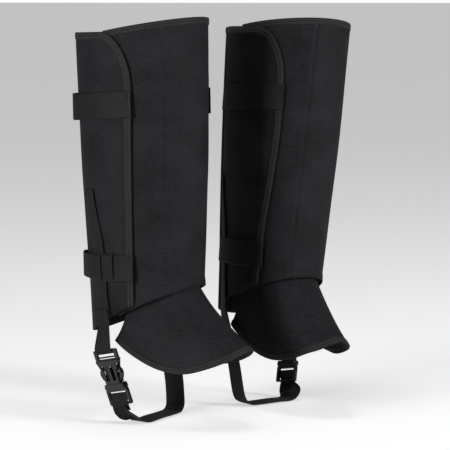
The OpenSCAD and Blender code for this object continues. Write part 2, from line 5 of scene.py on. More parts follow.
import bmesh
import bpy
import numpy as np
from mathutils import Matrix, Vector


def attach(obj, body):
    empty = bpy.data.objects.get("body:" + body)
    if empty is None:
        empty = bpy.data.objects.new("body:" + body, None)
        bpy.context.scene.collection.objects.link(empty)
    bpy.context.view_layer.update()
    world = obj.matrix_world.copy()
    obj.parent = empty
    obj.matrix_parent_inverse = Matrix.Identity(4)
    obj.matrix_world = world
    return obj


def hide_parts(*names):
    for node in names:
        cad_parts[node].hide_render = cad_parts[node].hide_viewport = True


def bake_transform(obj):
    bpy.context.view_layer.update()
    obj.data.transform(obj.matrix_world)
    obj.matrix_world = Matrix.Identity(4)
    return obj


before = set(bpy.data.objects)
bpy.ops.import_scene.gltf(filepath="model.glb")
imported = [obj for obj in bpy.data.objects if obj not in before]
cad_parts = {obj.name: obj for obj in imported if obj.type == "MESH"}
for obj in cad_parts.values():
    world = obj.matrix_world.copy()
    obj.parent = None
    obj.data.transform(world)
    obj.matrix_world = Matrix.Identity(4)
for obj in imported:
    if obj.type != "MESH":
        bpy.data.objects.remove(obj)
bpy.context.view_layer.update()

# ---- Driving dimensions of the frame, in millimetres and degrees ----
# Each gaiter is worked out as the right one, and the left one is its mirror image in its own lean.

RIM_Z, HEM_Z = 460, 157
RIM_HALF_WIDTH, RIM_HALF_DEPTH = 67, 77
HEM_HALF_WIDTH, HEM_HALF_DEPTH = 52, 68
HEM_DROP, RIM_DROP = 60, 12
CALF_SWELL = 2
ANKLE_Z = 110
PAIR_SPACING, LEFT_AHEAD = 170, 43.5
OUTLINE_MIDDLE = (13.79, -21.19, 0)
TOE_IN = {"right": 8, "left": 15}
LEAN = {"right": (-1.2, 0), "left": (0, 5)}  # forward lean, outward lean

LATERAL_SEAM = 45
MEDIAL_SEAM_LOW, MEDIAL_SEAM_HIGH = -26, -15
SHIN_ENDS = (-94, 98)
FOLD = 138  # angle of the rear flaps' fold lines
FOLD_SPAN, FOLD_WIDTH = (120, 420), 7
LATERAL_FLAP_END, MEDIAL_FLAP_END = 188, 168
WING_TOP_Z = RIM_Z - 15
CORNER_ANGLE, CORNER_H = 27, 62
CORNER_Z = WING_TOP_Z - CORNER_H
WING_SEAM = 106  # angle of the sewn seam on each wing

# Distances outward from the shin fabric's outer face to the inner face of each layer
SHIN_T, WING_T, WEBBING_T = 1.0, 1.2, 1.2
LINING_AT, LINING_T = -4.2, 0.8
WING_AT, STIRRUP_AT, UPPER_STRAP_AT, LOWER_STRAP_AT = 2.0, 3.6, 4.4, 5.2
LOOP_STRIP_AT, HOOK_STRIP_AT, STRIP_T = 3.6, 4.6, 0.6
OUTER_FLAP_AT, REAR_STRAP_AT = 5.6, 7.2
LAYER_GAP = 0.4
TONGUE_AT = REAR_STRAP_AT + WEBBING_T + LAYER_GAP

STRAP_W, STIRRUP_W = 30, 25
STRAP_RISE = 4
TONGUE_END = 177  # angle at which the tongues end, behind the calf
CLIMB = 26  # degrees over which a layer climbs over the ones below it
KEEPER_ENDS = (96, 107.5)
LOWER_TONGUE_START = 109.8
UPPER_STRAP_Z, LOWER_STRAP_Z, TACK_Z = 361, 180, 268
STIRRUP_ANGLE = 126
TAPE_W, TAPE_T = 7, 0.6
TAPE_SLACK = 0.12
STITCH_PITCH = 3.0

HOOD_REACH, HOOD_FRONT_Z, HOOD_HALF_WIDTH, HOOD_T = 134, 89, 52, 1.4
HOOD_TUCK, HOOD_TUCK_BACK, HOOD_MIDDLE_Y = 9.5, 13, 5
HOOD_DIP, HOOD_LIFT = 25, 31  # how far the edge falls beside the instep, and rises again to its corners
HOOD_ROOT_IN, HOOD_ROOT_BACK, HOOD_ROOT_UP = 9, 13, 18  # the root inside the hem
BUCKLE_MID = np.array([-48.5, 19, 53.5])


# ---- The leg's form ----


def mix(a, b, t):
    return a + (b - a) * t


def ease(t):
    t = np.clip(t, 0, 1)
    return t * t * (3 - 2 * t)


def sind(angle):
    return np.sin(np.radians(angle))


def cosd(angle):
    return np.cos(np.radians(angle))


def unit(v):
    return v / np.linalg.norm(v, axis=-1, keepdims=True)


def bump(x, width):
    """A soft hill of height 1 at x = 0."""
    return np.exp(-((x / width) ** 2))


def rise(z):
    return (z - HEM_Z) / (RIM_Z - HEM_Z)


def half_size(at_hem, at_rim, z):
    """Half the leg's width or depth at a height, with the swell of the calf."""
    return mix(at_hem, at_rim, rise(z)) + CALF_SWELL * sind(180 * np.clip(rise(z), 0, 1))


def on_leg(angle, z, out):
    """Points at an angle round the leg (0 in front, positive on the lateral side), a height and a
    distance outward."""
    angle, z, out = np.broadcast_arrays(angle, z, out)
    wide = half_size(HEM_HALF_WIDTH, RIM_HALF_WIDTH, z) + out
    deep = half_size(HEM_HALF_DEPTH, RIM_HALF_DEPTH, z) + out
    return np.stack([-wide * sind(angle), -deep * cosd(angle), z], -1).astype(float)


def hem_at(angle):
    """Height of the hem, which falls from the instep to the heel."""
    return HEM_Z - HEM_DROP * ((1 - cosd(angle)) / 2) ** 1.08


def rim_at(angle):
    return RIM_Z - RIM_DROP * (1 - cosd(angle))


def lateral_edge(z):
    """Angle of the lateral wing's front edge at a height. It is upright above the corner."""
    return mix(80, 73, (np.minimum(z, CORNER_Z) - 110) / 273)


def medial_edge(z):
    """Angle of the medial wing's front edge, which swings back towards the hem."""
    return -(45 + 17 * ease((350 - z) / 230))


def medial_seam(z):
    return mix(MEDIAL_SEAM_LOW, MEDIAL_SEAM_HIGH, rise(z))


def lateral_seam(z):
    return z * 0 + LATERAL_SEAM


def stirrup_angle_at(z):
    """Angle of the stirrup webbing, which slants forward on its way down from the bar tack."""
    return STIRRUP_ANGLE - 9 * ease((TACK_Z - z) / 75) - 4 * ease((150 - z) / 46)


def upper_z(angle):
    """Height of the middle of the upper strap, which climbs towards its front end."""
    behind = np.minimum(np.abs(angle), 360 - np.abs(angle))
    return UPPER_STRAP_Z + STRAP_RISE * np.clip((FOLD - behind) / 65, 0, 1)


def lower_z(angle):
    return angle * 0 + LOWER_STRAP_Z


class Gaiter:
    """One gaiter of the pair: its lean, its place, and the names of its pieces and bodies."""

    def __init__(self, side):
        self.side = side
        self.way = 1 if side == "right" else -1

    def name(self, part):
        return f"{self.side}_{part}"

    def leaned(self, p):
        forward, outward = LEAN[self.side]
        h = p[..., 2] - ANKLE_Z
        y = p[..., 1] * cosd(forward) - h * sind(forward)
        z = p[..., 1] * sind(forward) + h * cosd(forward)
        x = p[..., 0] * cosd(outward) - z * sind(outward)
        return np.stack([x, y, p[..., 0] * sind(outward) + z * cosd(outward) + ANKLE_Z], -1)

    def world(self, p):
        """From the right gaiter's own millimetres to the frame's metres."""
        p = np.asarray(p, float)
        x = p[..., 0] * self.way
        turn = TOE_IN[self.side] * self.way
        turned_x = x * cosd(turn) - p[..., 1] * sind(turn)
        turned_y = x * sind(turn) + p[..., 1] * cosd(turn)
        place = np.array([-self.way * PAIR_SPACING / 2, self.way * LEFT_AHEAD / 2, 0]) - OUTLINE_MIDDLE
        return (np.stack([turned_x, turned_y, p[..., 2]], -1) + place) / 1000

    def leg(self, angle, z, out):
        return self.world(self.leaned(on_leg(angle, z, out)))

    def ride(self, piece, body):
        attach(piece, self.name(body))

    def bend(self, piece, body, angle):
        """Works out an upright fold line at an angle between the leg shell and a body, then only bakes the
        piece's transform: the piece is not bent or attached to the body.
        """
        low, high = (self.leg(angle, z, WING_AT) for z in FOLD_SPAN)
        axis = unit(high - low)
        half_way = sum(FOLD_SPAN) / 2
        onward = self.leg(angle + 1, half_way, WING_AT) - self.leg(angle - 1, half_way, WING_AT)
        onward = unit(onward - (onward @ axis) * axis)
        reach = onward * FOLD_WIDTH / 2000
        if angle > 180:
            reach = -reach
        self.name("leg_shell")
        self.name(body)
        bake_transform(piece)


# ---- Materials ----


class Shader:
    """A principled material with a short way to add maths and texture nodes."""

    def __init__(self, name, **settings):
        self.material = bpy.data.materials.new(name)
        self.material.use_nodes = True
        self.tree = self.material.node_tree
        self.surface = self.tree.nodes["Principled BSDF"]
        for key, value in settings.items():
            self.surface.inputs[key.replace("_", " ")].default_value = value
        self.uv = self.tree.nodes.new("ShaderNodeSeparateXYZ")
        self.tree.links.new(self.tree.nodes.new("ShaderNodeUVMap").outputs[0], self.uv.inputs[0])
        self.u, self.v = self.uv.outputs[0], self.uv.outputs[1]

    def put(self, socket, value):
        if isinstance(value, bpy.types.NodeSocket):
            self.tree.links.new(value, socket)
        else:
            socket.default_value = value

    def maths(self, operation, a, b=0.0):
        node = self.tree.nodes.new("ShaderNodeMath")
        node.operation = operation
        self.put(node.inputs[0], a)
        self.put(node.inputs[1], b)
        return node.outputs[0]

    def add(self, a, b):
        return self.maths("ADD", a, b)

    def times(self, a, b):
        return self.maths("MULTIPLY", a, b)

    def wave(self, x, pitch, phase=0.0):
        """A sine of a length in metres."""
        return self.maths("SINE", self.add(self.times(x, 2 * math.pi / pitch), phase))

    def noise(self, scale_u, scale_v, detail=2.0, place=None):
        """Noise stretched over the sheet, from -1 to 1, with so many features per metre."""
        node = self.tree.nodes.new("ShaderNodeTexNoise")
        joined = self.tree.nodes.new("ShaderNodeCombineXYZ")
        u, v = place or (self.u, self.v)
        self.put(joined.inputs[0], self.times(u, scale_u))
        self.put(joined.inputs[1], self.times(v, scale_v))
        self.tree.links.new(joined.outputs[0], node.inputs["Vector"])
        node.inputs["Scale"].default_value = 1
        node.inputs["Detail"].default_value = detail
        return self.add(self.times(node.outputs["Fac"], 2), -1)

    def colour(self, base, change):
        """The base colour, made lighter or darker by a share."""
        node = self.tree.nodes.new("ShaderNodeVectorMath")
        node.operation = "SCALE"
        node.inputs[0].default_value = base
        self.put(node.inputs["Scale"], self.add(change, 1))
        self.tree.links.new(node.outputs[0], self.surface.inputs["Base Color"])

    def relief(self, height):
        """Height in metres."""
        node = self.tree.nodes.new("ShaderNodeBump")
        node.inputs["Distance"].default_value = 1
        self.put(node.inputs["Height"], height)
        self.tree.links.new(node.outputs[0], self.surface.inputs["Normal"])

    def roughness(self, base, change):
        self.put(self.surface.inputs["Roughness"], self.add(change, base))


def shell_fabric():
    """Coated plain weave with uneven, slubby weft threads."""
    s = Shader("shell_fabric", Sheen_Weight=0.04, Sheen_Roughness=0.4, Specular_IOR_Level=0.18)
    pitch = 0.0012
    weave = s.times(s.wave(s.u, pitch), s.wave(s.v, pitch))
    ribs = s.wave(s.v, pitch / 2)
    slub = s.noise(170, 540, 3)
    speckle = s.noise(420, 620, 2)
    patches = s.noise(20, 27, 6)
    uneven = s.add(s.times(slub, 0.9), s.add(s.times(speckle, 0.7), s.times(patches, 1.2)))
    s.colour((0.0121, 0.012, 0.0152), s.add(uneven, s.times(weave, 0.16)))
    s.relief(s.add(s.add(s.times(weave, 0.00007), s.times(ribs, 0.00003)), s.times(uneven, 0.0001)))
    s.roughness(0.66, s.times(uneven, 0.08))
    return s.material


def lining_fabric():
    s = Shader("lining_fabric", Sheen_Weight=0.15, Specular_IOR_Level=0.35)
    weave = s.times(s.wave(s.u, 0.0009), s.wave(s.v, 0.0009))
    cloud = s.noise(30, 30, 3)
    s.colour((0.03, 0.03, 0.033), s.add(s.times(cloud, 0.25), s.times(weave, 0.1)))
    s.relief(s.add(s.times(weave, 0.00003), s.times(cloud, 0.0003)))
    s.roughness(0.55, s.times(cloud, 0.1))
    return s.material


def ribbed_cloth(name, base, rib, wale, gloss, contrast):
    """Narrow woven goods: u runs along the tape, v across it."""
    s = Shader(name, Sheen_Weight=0.04, Specular_IOR_Level=0.2)
    column = s.maths("SIGN", s.wave(s.v, 2 * wale))
    chevron = s.wave(s.add(s.u, s.times(s.times(s.v, column), 0.5)), rib)
    columns = s.maths("ABSOLUTE", s.wave(s.v, 2 * wale))
    wear = s.noise(60, 60, 3)
    fine = s.noise(700, 1500, 2)
    pattern = s.add(s.times(chevron, 0.5), s.times(fine, 1.0))
    s.colour(base, s.add(s.times(pattern, contrast), s.times(wear, 0.35)))
    s.relief(s.add(s.add(s.times(chevron, 0.00007), s.times(columns, 0.00008)), s.times(fine, 0.00003)))
    s.roughness(gloss, s.times(wear, 0.1))
    return s.material


def pile(name, base, pitch, depth):
    """Hook or loop tape."""
    s = Shader(name, Sheen_Weight=0.5, Roughness=0.9)
    dots = s.times(s.wave(s.u, pitch), s.wave(s.v, pitch))
    fuzz = s.noise(1400, 1400, 3)
    s.colour(base, s.add(s.times(dots, 0.25), s.times(fuzz, 0.4)))
    s.relief(s.add(s.times(dots, depth), s.times(fuzz, depth)))
    return s.material


def sewing_thread():
    s = Shader("sewing_thread", Sheen_Weight=0.05, Roughness=0.6)
    twist = s.wave(s.add(s.u, s.v), 0.0008)
    s.colour((0.058, 0.058, 0.054), s.times(twist, 0.35))
    s.relief(s.times(twist, 0.00005))
    return s.material


def moulded_plastic(name, base, roughness):
    s = Shader(name, Specular_IOR_Level=0.55)
    s.surface.inputs["Coat Weight"].default_value = 0.4
    s.surface.inputs["Coat Roughness"].default_value = 0.1
    place = s.tree.nodes.new("ShaderNodeTexCoord")
    split = s.tree.nodes.new("ShaderNodeSeparateXYZ")
    s.tree.links.new(place.outputs["Object"], split.inputs[0])
    grain = s.noise(1800, 1800, 3, (s.add(split.outputs[0], split.outputs[1]), split.outputs[2]))
    haze = s.noise(160, 160, 3, (s.add(split.outputs[0], split.outputs[1]), split.outputs[2]))
    s.colour(base, s.times(haze, 0.3))
    s.relief(s.times(grain, 0.000012))
    s.roughness(roughness, s.add(s.times(haze, 0.08), s.times(grain, 0.03)))
    return s.material


MATERIALS = {
    "shell_fabric": shell_fabric(),
    "lining_fabric": lining_fabric(),
    "binding_tape": ribbed_cloth("binding_tape", (0.0185, 0.0185, 0.0168), 0.0024, 0.0009, 0.7, 0.9),
    "webbing": ribbed_cloth("webbing", (0.0085, 0.0089, 0.0083), 0.003, 0.0021, 0.62, 1.3),
    "elastic_band": ribbed_cloth("elastic_band", (0.0125, 0.0105, 0.009), 0.0024, 0.0015, 0.7, 0.6),
    "loop_pile": pile("loop_pile", (0.035, 0.035, 0.035), 0.002, 0.00015),
    "hook_tape": pile("hook_tape", (0.02, 0.02, 0.02), 0.0016, 0.0002),
    "sewing_thread": sewing_thread(),
    "stiffener_board": moulded_plastic("stiffener_board", (0.5, 0.51, 0.53), 0.5),
    "buckle_plastic": moulded_plastic("buckle_plastic", (0.014, 0.014, 0.0155), 0.24),
}


# ---- Meshes ----


def add_piece(name, points, faces, uv, slot):
    """A smooth-shaded mesh with its UVs in metres, one for each point."""
    mesh = bpy.data.meshes.new(name)
    mesh.from_pydata(np.asarray(points, float).reshape(-1, 3).tolist(), [], faces)
    layer = mesh.uv_layers.new(name="UVMap")
    corners = np.zeros(len(mesh.loops), int)
    mesh.loops.foreach_get("vertex_index", corners)
    layer.data.foreach_set("uv", np.asarray(uv, float).reshape(-1, 2)[corners].ravel())
    mesh.polygons.foreach_set("use_smooth", [True] * len(mesh.polygons))
    mesh.materials.append(MATERIALS[slot])
    mesh.update()
    piece = bpy.data.objects.new(name, mesh)
    bpy.context.scene.collection.objects.link(piece)
    return piece


def quads(rows, columns, around=False):
    """Quads of a grid of points; around joins the last column to the first."""
    found = []
    for i in range(rows - 1):
        for j in range(columns if around else columns - 1):
            k = (j + 1) % columns
            found.append((i * columns + j, i * columns + k, (i + 1) * columns + k, (i + 1) * columns + j))
    return found


def sheet(name, points, uv, thickness, slot):
    """A grid of points as cloth: the points are its outer face, and its thickness is in millimetres."""
    rows, columns = points.shape[:2]
    faces = quads(rows, columns)
    corners = points.reshape(-1, 3)[np.array(faces)]
    normals = np.cross(corners[:, 1] - corners[:, 0], corners[:, 3] - corners[:, 0])
    outward = corners.mean(1) - points.reshape(-1, 3).mean(0)
    if (normals * outward).sum() < 0:
        faces = [tuple(reversed(f)) for f in faces]
    piece = add_piece(name, points, faces, uv, slot)
    solid = piece.modifiers.new("thickness", "SOLIDIFY")
    solid.thickness = thickness / 1000
    solid.offset = -1
    return piece


def face_outward(piece):
    """Turns every face of a closed mesh outward."""
    mesh = bmesh.new()
    mesh.from_mesh(piece.data)
    bmesh.ops.recalc_face_normals(mesh, faces=mesh.faces)
    mesh.to_mesh(piece.data)
    mesh.free()
    return piece


def loft(name, sections, uv, slot):
    """Closed sections, one after another, with flat ends."""
    rows, columns = sections.shape[:2]
    faces = quads(rows, columns, around=True)
    faces.append(tuple(range(columns)))
    faces.append(tuple(reversed(range((rows - 1) * columns, rows * columns))))
    return face_outward(add_piece(name, sections, faces, uv, slot))


def lengths(path):
    """Distance along a path to each of its points."""
    steps = np.linalg.norm(np.diff(path, axis=0), axis=1)
    return np.concatenate([[0], np.cumsum(steps)])


def resample(path, pitch, *others):
    """The path, and what goes with it, at an even pitch."""
    along = lengths(path)
    count = max(2, int(round(along[-1] / pitch)) + 1)
    even = np.linspace(0, along[-1], count)

    def evenly(rows):
        return np.stack([np.interp(even, along, column) for column in rows.T], -1)

    return [evenly(rows) for rows in (path, *others)]


class Thread:
    """Stitches gathered into one piece."""

    def __init__(self):
        self.points, self.faces = [], []

    def row(self, path, normals, pitch=STITCH_PITCH, length=2.2, width=0.42):
        """A row of stitches along a path in metres, as small rounded bars whose ends dip into the cloth."""
        path, normals = resample(path, pitch / 1000, normals)
        along = unit(np.gradient(path, axis=0))
        normals = unit(normals)
        across = np.cross(along, normals)
        # Rings along a stitch, as shares of its half length, with the girth of each
        shares = np.array([-1, -0.75, -0.3, 0.3, 0.75, 1])
        girth = np.array([0.25, 0.85, 1, 1, 0.85, 0.25])
        turns = np.radians(np.arange(0, 360, 60))
        for p, a, n, c in zip(path[:-1], along, normals, across):
            first = len(self.points)
            for share, size in zip(shares, girth):
                lift = 0.12 - 0.3 * share**2
                middle = p + a * share * length / 2000 + n * lift / 1000
                for turn in turns:
                    spoke = c * math.cos(turn) + n * math.sin(turn)
                    self.points.append(middle + spoke * size * width / 2000)
            rings, sides = len(shares), len(turns)
            self.faces += [tuple(first + i for i in q) for q in quads(rings, sides, around=True)]
            self.faces.append(tuple(first + i for i in reversed(range(sides))))
            self.faces.append(tuple(first + (rings - 1) * sides + i for i in range(sides)))

    def piece(self, name, slot="sewing_thread"):
        points = np.array(self.points)
        return face_outward(add_piece(name, points, self.faces, points[:, [0, 2]], slot))


def tape_profile(sheet_t):
    """Section of a binding folded over an edge: [inward from the edge, across the sheet]."""
    inner = sheet_t / 2 + TAPE_SLACK
    outer = inner + TAPE_T
    half = [(TAPE_W, inner), (TAPE_W + 0.1, outer - 0.2), (TAPE_W - 0.3, outer)]
    half += [(5.7, outer + 0.06), (5.1, outer - 0.08), (4.3, outer + 0.1), (3.2, outer + 0.14)]
    half += [(2.2, outer + 0.08), (1.6, outer - 0.06), (0.9, outer)]
    fold = [(-0.55 * sind(t), outer * cosd(t)) for t in (25, 60, 90, 120, 155)]
    return half + fold + [(d, -h) for d, h in reversed(half)] + [(0, -inner), (0, inner)]


def binding(name, edge, inward, normals, sheet_t, thread):
    """Folded tape along an edge, with a double row of stitches on its outer face. All in metres."""
    edge, inward, normals = resample(edge, STITCH_PITCH / 2000, inward, normals)
    inward, normals = unit(inward), unit(normals)
    profile = np.array(tape_profile(sheet_t))
    girth = lengths(profile)
    along = lengths(edge)
    pull = 1 + 0.05 * np.cos(2 * np.pi * along / STITCH_PITCH * 1000)
    drift = 0.25 * np.sin(along * 95) + 0.15 * np.sin(along * 223 + 1)
    depth = profile[None, :, 0] + drift[:, None] * (profile[None, :, 0] > 3)
    height = profile[None, :, 1] * pull[:, None]
    offset = depth[..., None] * inward[:, None] + height[..., None] * normals[:, None]
    sections = edge[:, None] + offset / 1000
    uv = np.stack(np.broadcast_arrays(along[:, None], girth[None] / 1000), -1)
    outer = sheet_t / 2 + TAPE_SLACK + TAPE_T
    for inset in (1.7, 5.2):
        thread.row(edge + (inward * inset + normals * outer) / 1000, normals, length=1.9, width=0.55)
    return loft(name, sections, uv, "binding_tape")


def band_section(width):
    """Section of webbing, with slightly thicker selvedges: [across, outward], from one edge and back."""
    across = np.array([-0.5, -0.485, -0.46, -0.42, -0.3, -0.1, 0.1, 0.3, 0.42, 0.46, 0.485, 0.5])
    height = np.array([0.18, 0.42, 0.53, 0.5, 0.48, 0.5, 0.5, 0.48, 0.5, 0.53, 0.42, 0.18])
    top = np.stack([across * width, height * WEBBING_T], -1)
    return np.concatenate([top, np.stack([across[::-1] * width, -height * WEBBING_T], -1)])


def band(name, middle, out, curl, width, taper=None, bow=0.0):
    """Webbing through stations in metres. curl bends it across its width, taper narrows it by a share at each
    station, and bow hollows its first end, in millimetres."""
    share = np.ones(len(curl)) if taper is None else taper
    middle, out, extra = resample(middle, 0.0016, out, np.stack([curl, share], -1))
    out = unit(out)
    along = unit(np.gradient(middle, axis=0))
    across = unit(np.cross(out, along))
    section = band_section(width)
    x = section[None, :, 0] * extra[:, 1:2]
    s = lengths(middle)
    hollow = bow * (1 - (2 * x / width) ** 2) * np.clip(1 - s * 1000 / 9, 0, 1)[:, None]
    lift = section[None, :, 1] - x**2 * extra[:, 0:1] / 2
    offset = x[..., None] * across[:, None] + lift[..., None] * out[:, None]
    points = middle[:, None] + (offset + hollow[..., None] * along[:, None]) / 1000
    uv = np.stack(np.broadcast_arrays(s[:, None], x / 1000), -1)
    return loft(name, points, uv, "webbing")


# ---- Cloth shells ----


def leg_uv(angle, z):
    """Metres along the sheet, measured on a leg of mean radius."""
    mean_radius = 68
    angle, z = np.broadcast_arrays(angle, z)
    return np.stack([np.radians(angle) * mean_radius, z], -1) / 1000


def unevenness(angle, z, seed, size):
    """Gentle, smooth unevenness of worn cloth."""
    rng = np.random.default_rng(seed)
    total = np.zeros(np.broadcast(angle, z).shape)
    for _ in range(7):
        turns, climb = rng.uniform(1.5, 5), rng.uniform(12, 42)
        phase = rng.uniform(0, 6.3)
        lean = rng.uniform(-0.03, 0.03)
        total = total + np.sin(np.radians(angle) * turns + z / climb + angle * lean + phase)
    return size * total / 7


def seam_relief(angle, z, seam):
    """A sewn channel edge: the cloth dips at the stitches, swells beside them and puckers a little."""
    apart = (angle - seam) * 1.15
    pucker = 0.13 * np.sin(z * 2 * np.pi / 6.5 + np.sin(z / 17)) * bump(apart, 4)
    return -0.95 * bump(apart, 1.1) + 0.5 * bump(np.abs(apart) - 4.5, 3) + pucker


def shin_panel(g):
    angle = np.linspace(*SHIN_ENDS, 121)[:, None]
    share = np.linspace(0, 1, 131)[None]
    z = mix(hem_at(angle), rim_at(angle), share)
    out = unevenness(angle, z, 3 if g.side == "right" else 4, 0.55)
    for seam in (lateral_seam, medial_seam):
        out = out + seam_relief(angle, z, seam(z))
    above = z - hem_at(angle)
    # The turned hem is thicker up to its stitch line, and it flares a little over the hood
    out = out + 0.25 * (1 - ease((above - 8) / 1.5)) - 0.1 * bump(above - 9, 0.9)
    out = out + 1.2 * (1 - ease(above / 14))
    # It lies flat where a wing covers it
    covered = ease((np.abs(angle - 12) - 70) / 14)
    out = out * (1 - covered)
    piece = sheet(g.name("shin_cloth"), g.leg(angle, z, out), leg_uv(angle, z), SHIN_T, "shell_fabric")
    g.ride(piece, "leg_shell")
    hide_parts(g.name("shin_panel"))
    thread = Thread()
    for seam in (lateral_seam, medial_seam):
        low, high = hem_at(seam(HEM_Z)) + 9, rim_at(seam(RIM_Z)) - TAPE_W - 1
        z = np.linspace(low, high, 120)
        for shift in (-0.9, 0.9):
            path = g.leg(seam(z) + shift, z, -0.5)
            thread.row(path, g.leg(seam(z), z, 1) - g.leg(seam(z), z, 0), length=2.1, width=0.36)
    g.ride(thread.piece(g.name("shin_seam_stitches"), "shell_fabric"), "leg_shell")


def lining(g):
    """The lining meets the shin cloth at the rim, the hem and the channel seams, and stands off between."""
    angle = np.linspace(SHIN_ENDS[0] + 2, SHIN_ENDS[1] - 2, 97)[:, None]
    share = np.linspace(0, 1, 81)[None]
    low, high = hem_at(angle) + 3, rim_at(angle) - 3
    z = mix(low, high, share)
    near = np.minimum(z - low, high - z)
    at = mix(-SHIN_T - 0.3, LINING_AT + LINING_T, ease(near / 16))
    for seam in (lateral_seam, medial_seam):
        at = at + 1.5 * bump((angle - seam(z)) * 1.1, 1.6)
    at = at + unevenness(angle, z, 9, 0.3) * ease(near / 20)
    piece = sheet(g.name("inner_lining"), g.leg(angle, z, at), leg_uv(angle, z), LINING_T, "lining_fabric")
    g.ride(piece, "leg_shell")
    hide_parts(g.name("shin_lining"))


def wing_top_at(from_edge):
    """Height of a wing's top at so many degrees from its front edge: a quarter ellipse, then level."""
    c = 1 - np.clip(np.abs(from_edge) / CORNER_ANGLE, 0, 1)
    return WING_TOP_Z - CORNER_H * (1 - np.sqrt(1 - c * c))


def outer_rise(angle):
    """How far out the outer rear flap lies, as it climbs over the inner one."""
    return mix(WING_AT, OUTER_FLAP_AT, ease((360 - FOLD - np.abs(angle)) / CLIMB))


def wing_side(g, part, edge, way, flap_end, seed, at):
    """A wing and its rear flap as one sheet: from its front edge, over the fold line, to the free edge."""
    columns = np.concatenate([np.linspace(0, 1, 48)[:-1] ** 1.4, np.linspace(1, 2, 28)])[:, None]
    share = (np.linspace(0, 1, 121) ** 0.9)[None]
    end = way * FOLD

    def across(at_z):
        return np.where(columns <= 1, mix(edge(at_z), end, columns), mix(end, flap_end, columns - 1))

    low = hem_at(across(HEM_Z)) + 2
    top = wing_top_at(np.where(columns <= 1, across(CORNER_Z) - edge(CORNER_Z), CORNER_ANGLE))
    z = mix(low, top, share)
    angle = across(z)
    from_edge = np.abs(angle - edge(z))
    out = at(angle) + WING_T + unevenness(angle, z, seed, 0.5) * ease((from_edge - 6) / 12)
    # The tape pinches the cloth, which swells again beside it
    out = out - 0.35 * bump(from_edge * 1.15 - TAPE_W - 0.5, 1.3)
    out = out + 0.5 * bump(from_edge * 1.15 - TAPE_W - 7, 5) * ease((top - z) / 30)
    return sheet(g.name(part), g.leg(angle, z, out), leg_uv(angle, z), WING_T, "shell_fabric")


def wing_binding(g, part, edge, way, flap_end, at, thread):
    """The binding runs up the front edge, round the corner, along the top and on over the rear flap."""
    low_z = hem_at(edge(HEM_Z)) + 3
    z = np.linspace(low_z, CORNER_Z, 60)
    turn = np.linspace(0, 90, 26)[1:]
    flat = np.linspace(edge(CORNER_Z) + way * CORNER_ANGLE, flap_end, 60)[1:]
    angle = np.concatenate([edge(z), edge(CORNER_Z) + way * CORNER_ANGLE * (1 - cosd(turn)), flat])
    height = np.concatenate([z, CORNER_Z + CORNER_H * sind(turn), flat * 0 + WING_TOP_Z])
    into_angle = np.concatenate([z * 0 + way, way * cosd(turn) * 0.8, flat * 0])
    into_z = np.concatenate([z * 0, -sind(turn), flat * 0 - 1])
    middle = at(angle) + WING_T / 2
    path = g.leg(angle, height, middle)
    inward = g.leg(angle + into_angle, height + into_z, middle) - path
    normals = g.leg(angle, height, middle + 1) - path
    return binding(g.name(part), path, inward, normals, WING_T, thread)


def wings(g):
    def lateral_at(angle):
        return angle * 0 + WING_AT

    def medial_at(angle):
        return np.where(np.abs(angle) > FOLD, outer_rise(angle), WING_AT)

    sides = (
        # name, front edge, way round the leg, end angle, distance outward, rear body, fold line, seed
        ("lateral", lateral_edge, 1, LATERAL_FLAP_END, lateral_at, "inner_rear_flap", FOLD, 11),
        ("medial", medial_edge, -1, MEDIAL_FLAP_END - 360, medial_at, "outer_rear_flap", 360 - FOLD, 12),
    )
    for label, edge, way, flap_end, at, body, fold, seed in sides:
        thread = Thread()
        cloth = wing_side(g, f"{label}_side_cloth", edge, way, flap_end, seed, at)
        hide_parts(g.name(f"{label}_wing"), g.name(f"{label}_rear_flap"))
        tape = wing_binding(g, f"{label}_side_binding", edge, way, flap_end, at, thread)
        if label == "lateral":
            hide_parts(g.name("wing_bindings"))
        at_seam = way * WING_SEAM
        z = np.linspace(hem_at(at_seam) + 10, WING_TOP_Z - 12, 100)
        normal = g.leg(at_seam, z, 1) - g.leg(at_seam, z, 0)
        seam = Thread()
        seam.row(g.leg(at_seam, z, WING_AT + WING_T), normal, width=0.34)
        stitches = thread.piece(g.name(f"{label}_side_stitches"))
        seam_stitches = seam.piece(g.name(f"{label}_side_seam"), "shell_fabric")
        for piece in (cloth, tape, stitches, seam_stitches):
            g.bend(piece, body, fold)


def closure_strips(g):
    angle = np.linspace(MEDIAL_FLAP_END + 3, LATERAL_FLAP_END - 3, 9)[:, None]
    z = np.linspace(hem_at(180) + 12, WING_TOP_Z - 12, 80)[None]
    rows = (
        ("loop_strip", LOOP_STRIP_AT, "loop_pile", "inner_rear_flap"),
        ("hook_strip", HOOK_STRIP_AT, "hook_tape", "outer_rear_flap"),
    )
    for part, at, slot, body in rows:
        points = g.leg(angle, z, at + STRIP_T)
        piece = sheet(g.name(f"{part}_face"), points, leg_uv(angle, z), STRIP_T, slot)
        g.ride(piece, body)
        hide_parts(g.name(part))


def rim_binding(g, thread):
    """Folded tape over the top rim of the shin cloth."""
    a = np.linspace(*SHIN_ENDS, 90)
    path = g.leg(a, rim_at(a), -SHIN_T / 2)
    inward = g.leg(a, rim_at(a) - 1, -SHIN_T / 2) - path
    normals = g.leg(a, rim_at(a), SHIN_T / 2) - path
    tape = binding(g.name("rim_binding"), path, inward, normals, SHIN_T, thread)
    g.ride(tape, "leg_shell")
    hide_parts(g.name("top_binding"))


# ---- Straps ----


def strap_stations(g, first, last, z, at):
    """Stations along the leg from one angle to another, at about a millimetre apart."""
    angle = np.linspace(first, last, int(abs(last - first)) + 2)
    middle = g.leg(angle, z(angle), at(angle) + WEBBING_T / 2)
    return middle, g.leg(angle, z(angle), at(angle) + WEBBING_T / 2 + 1) - middle


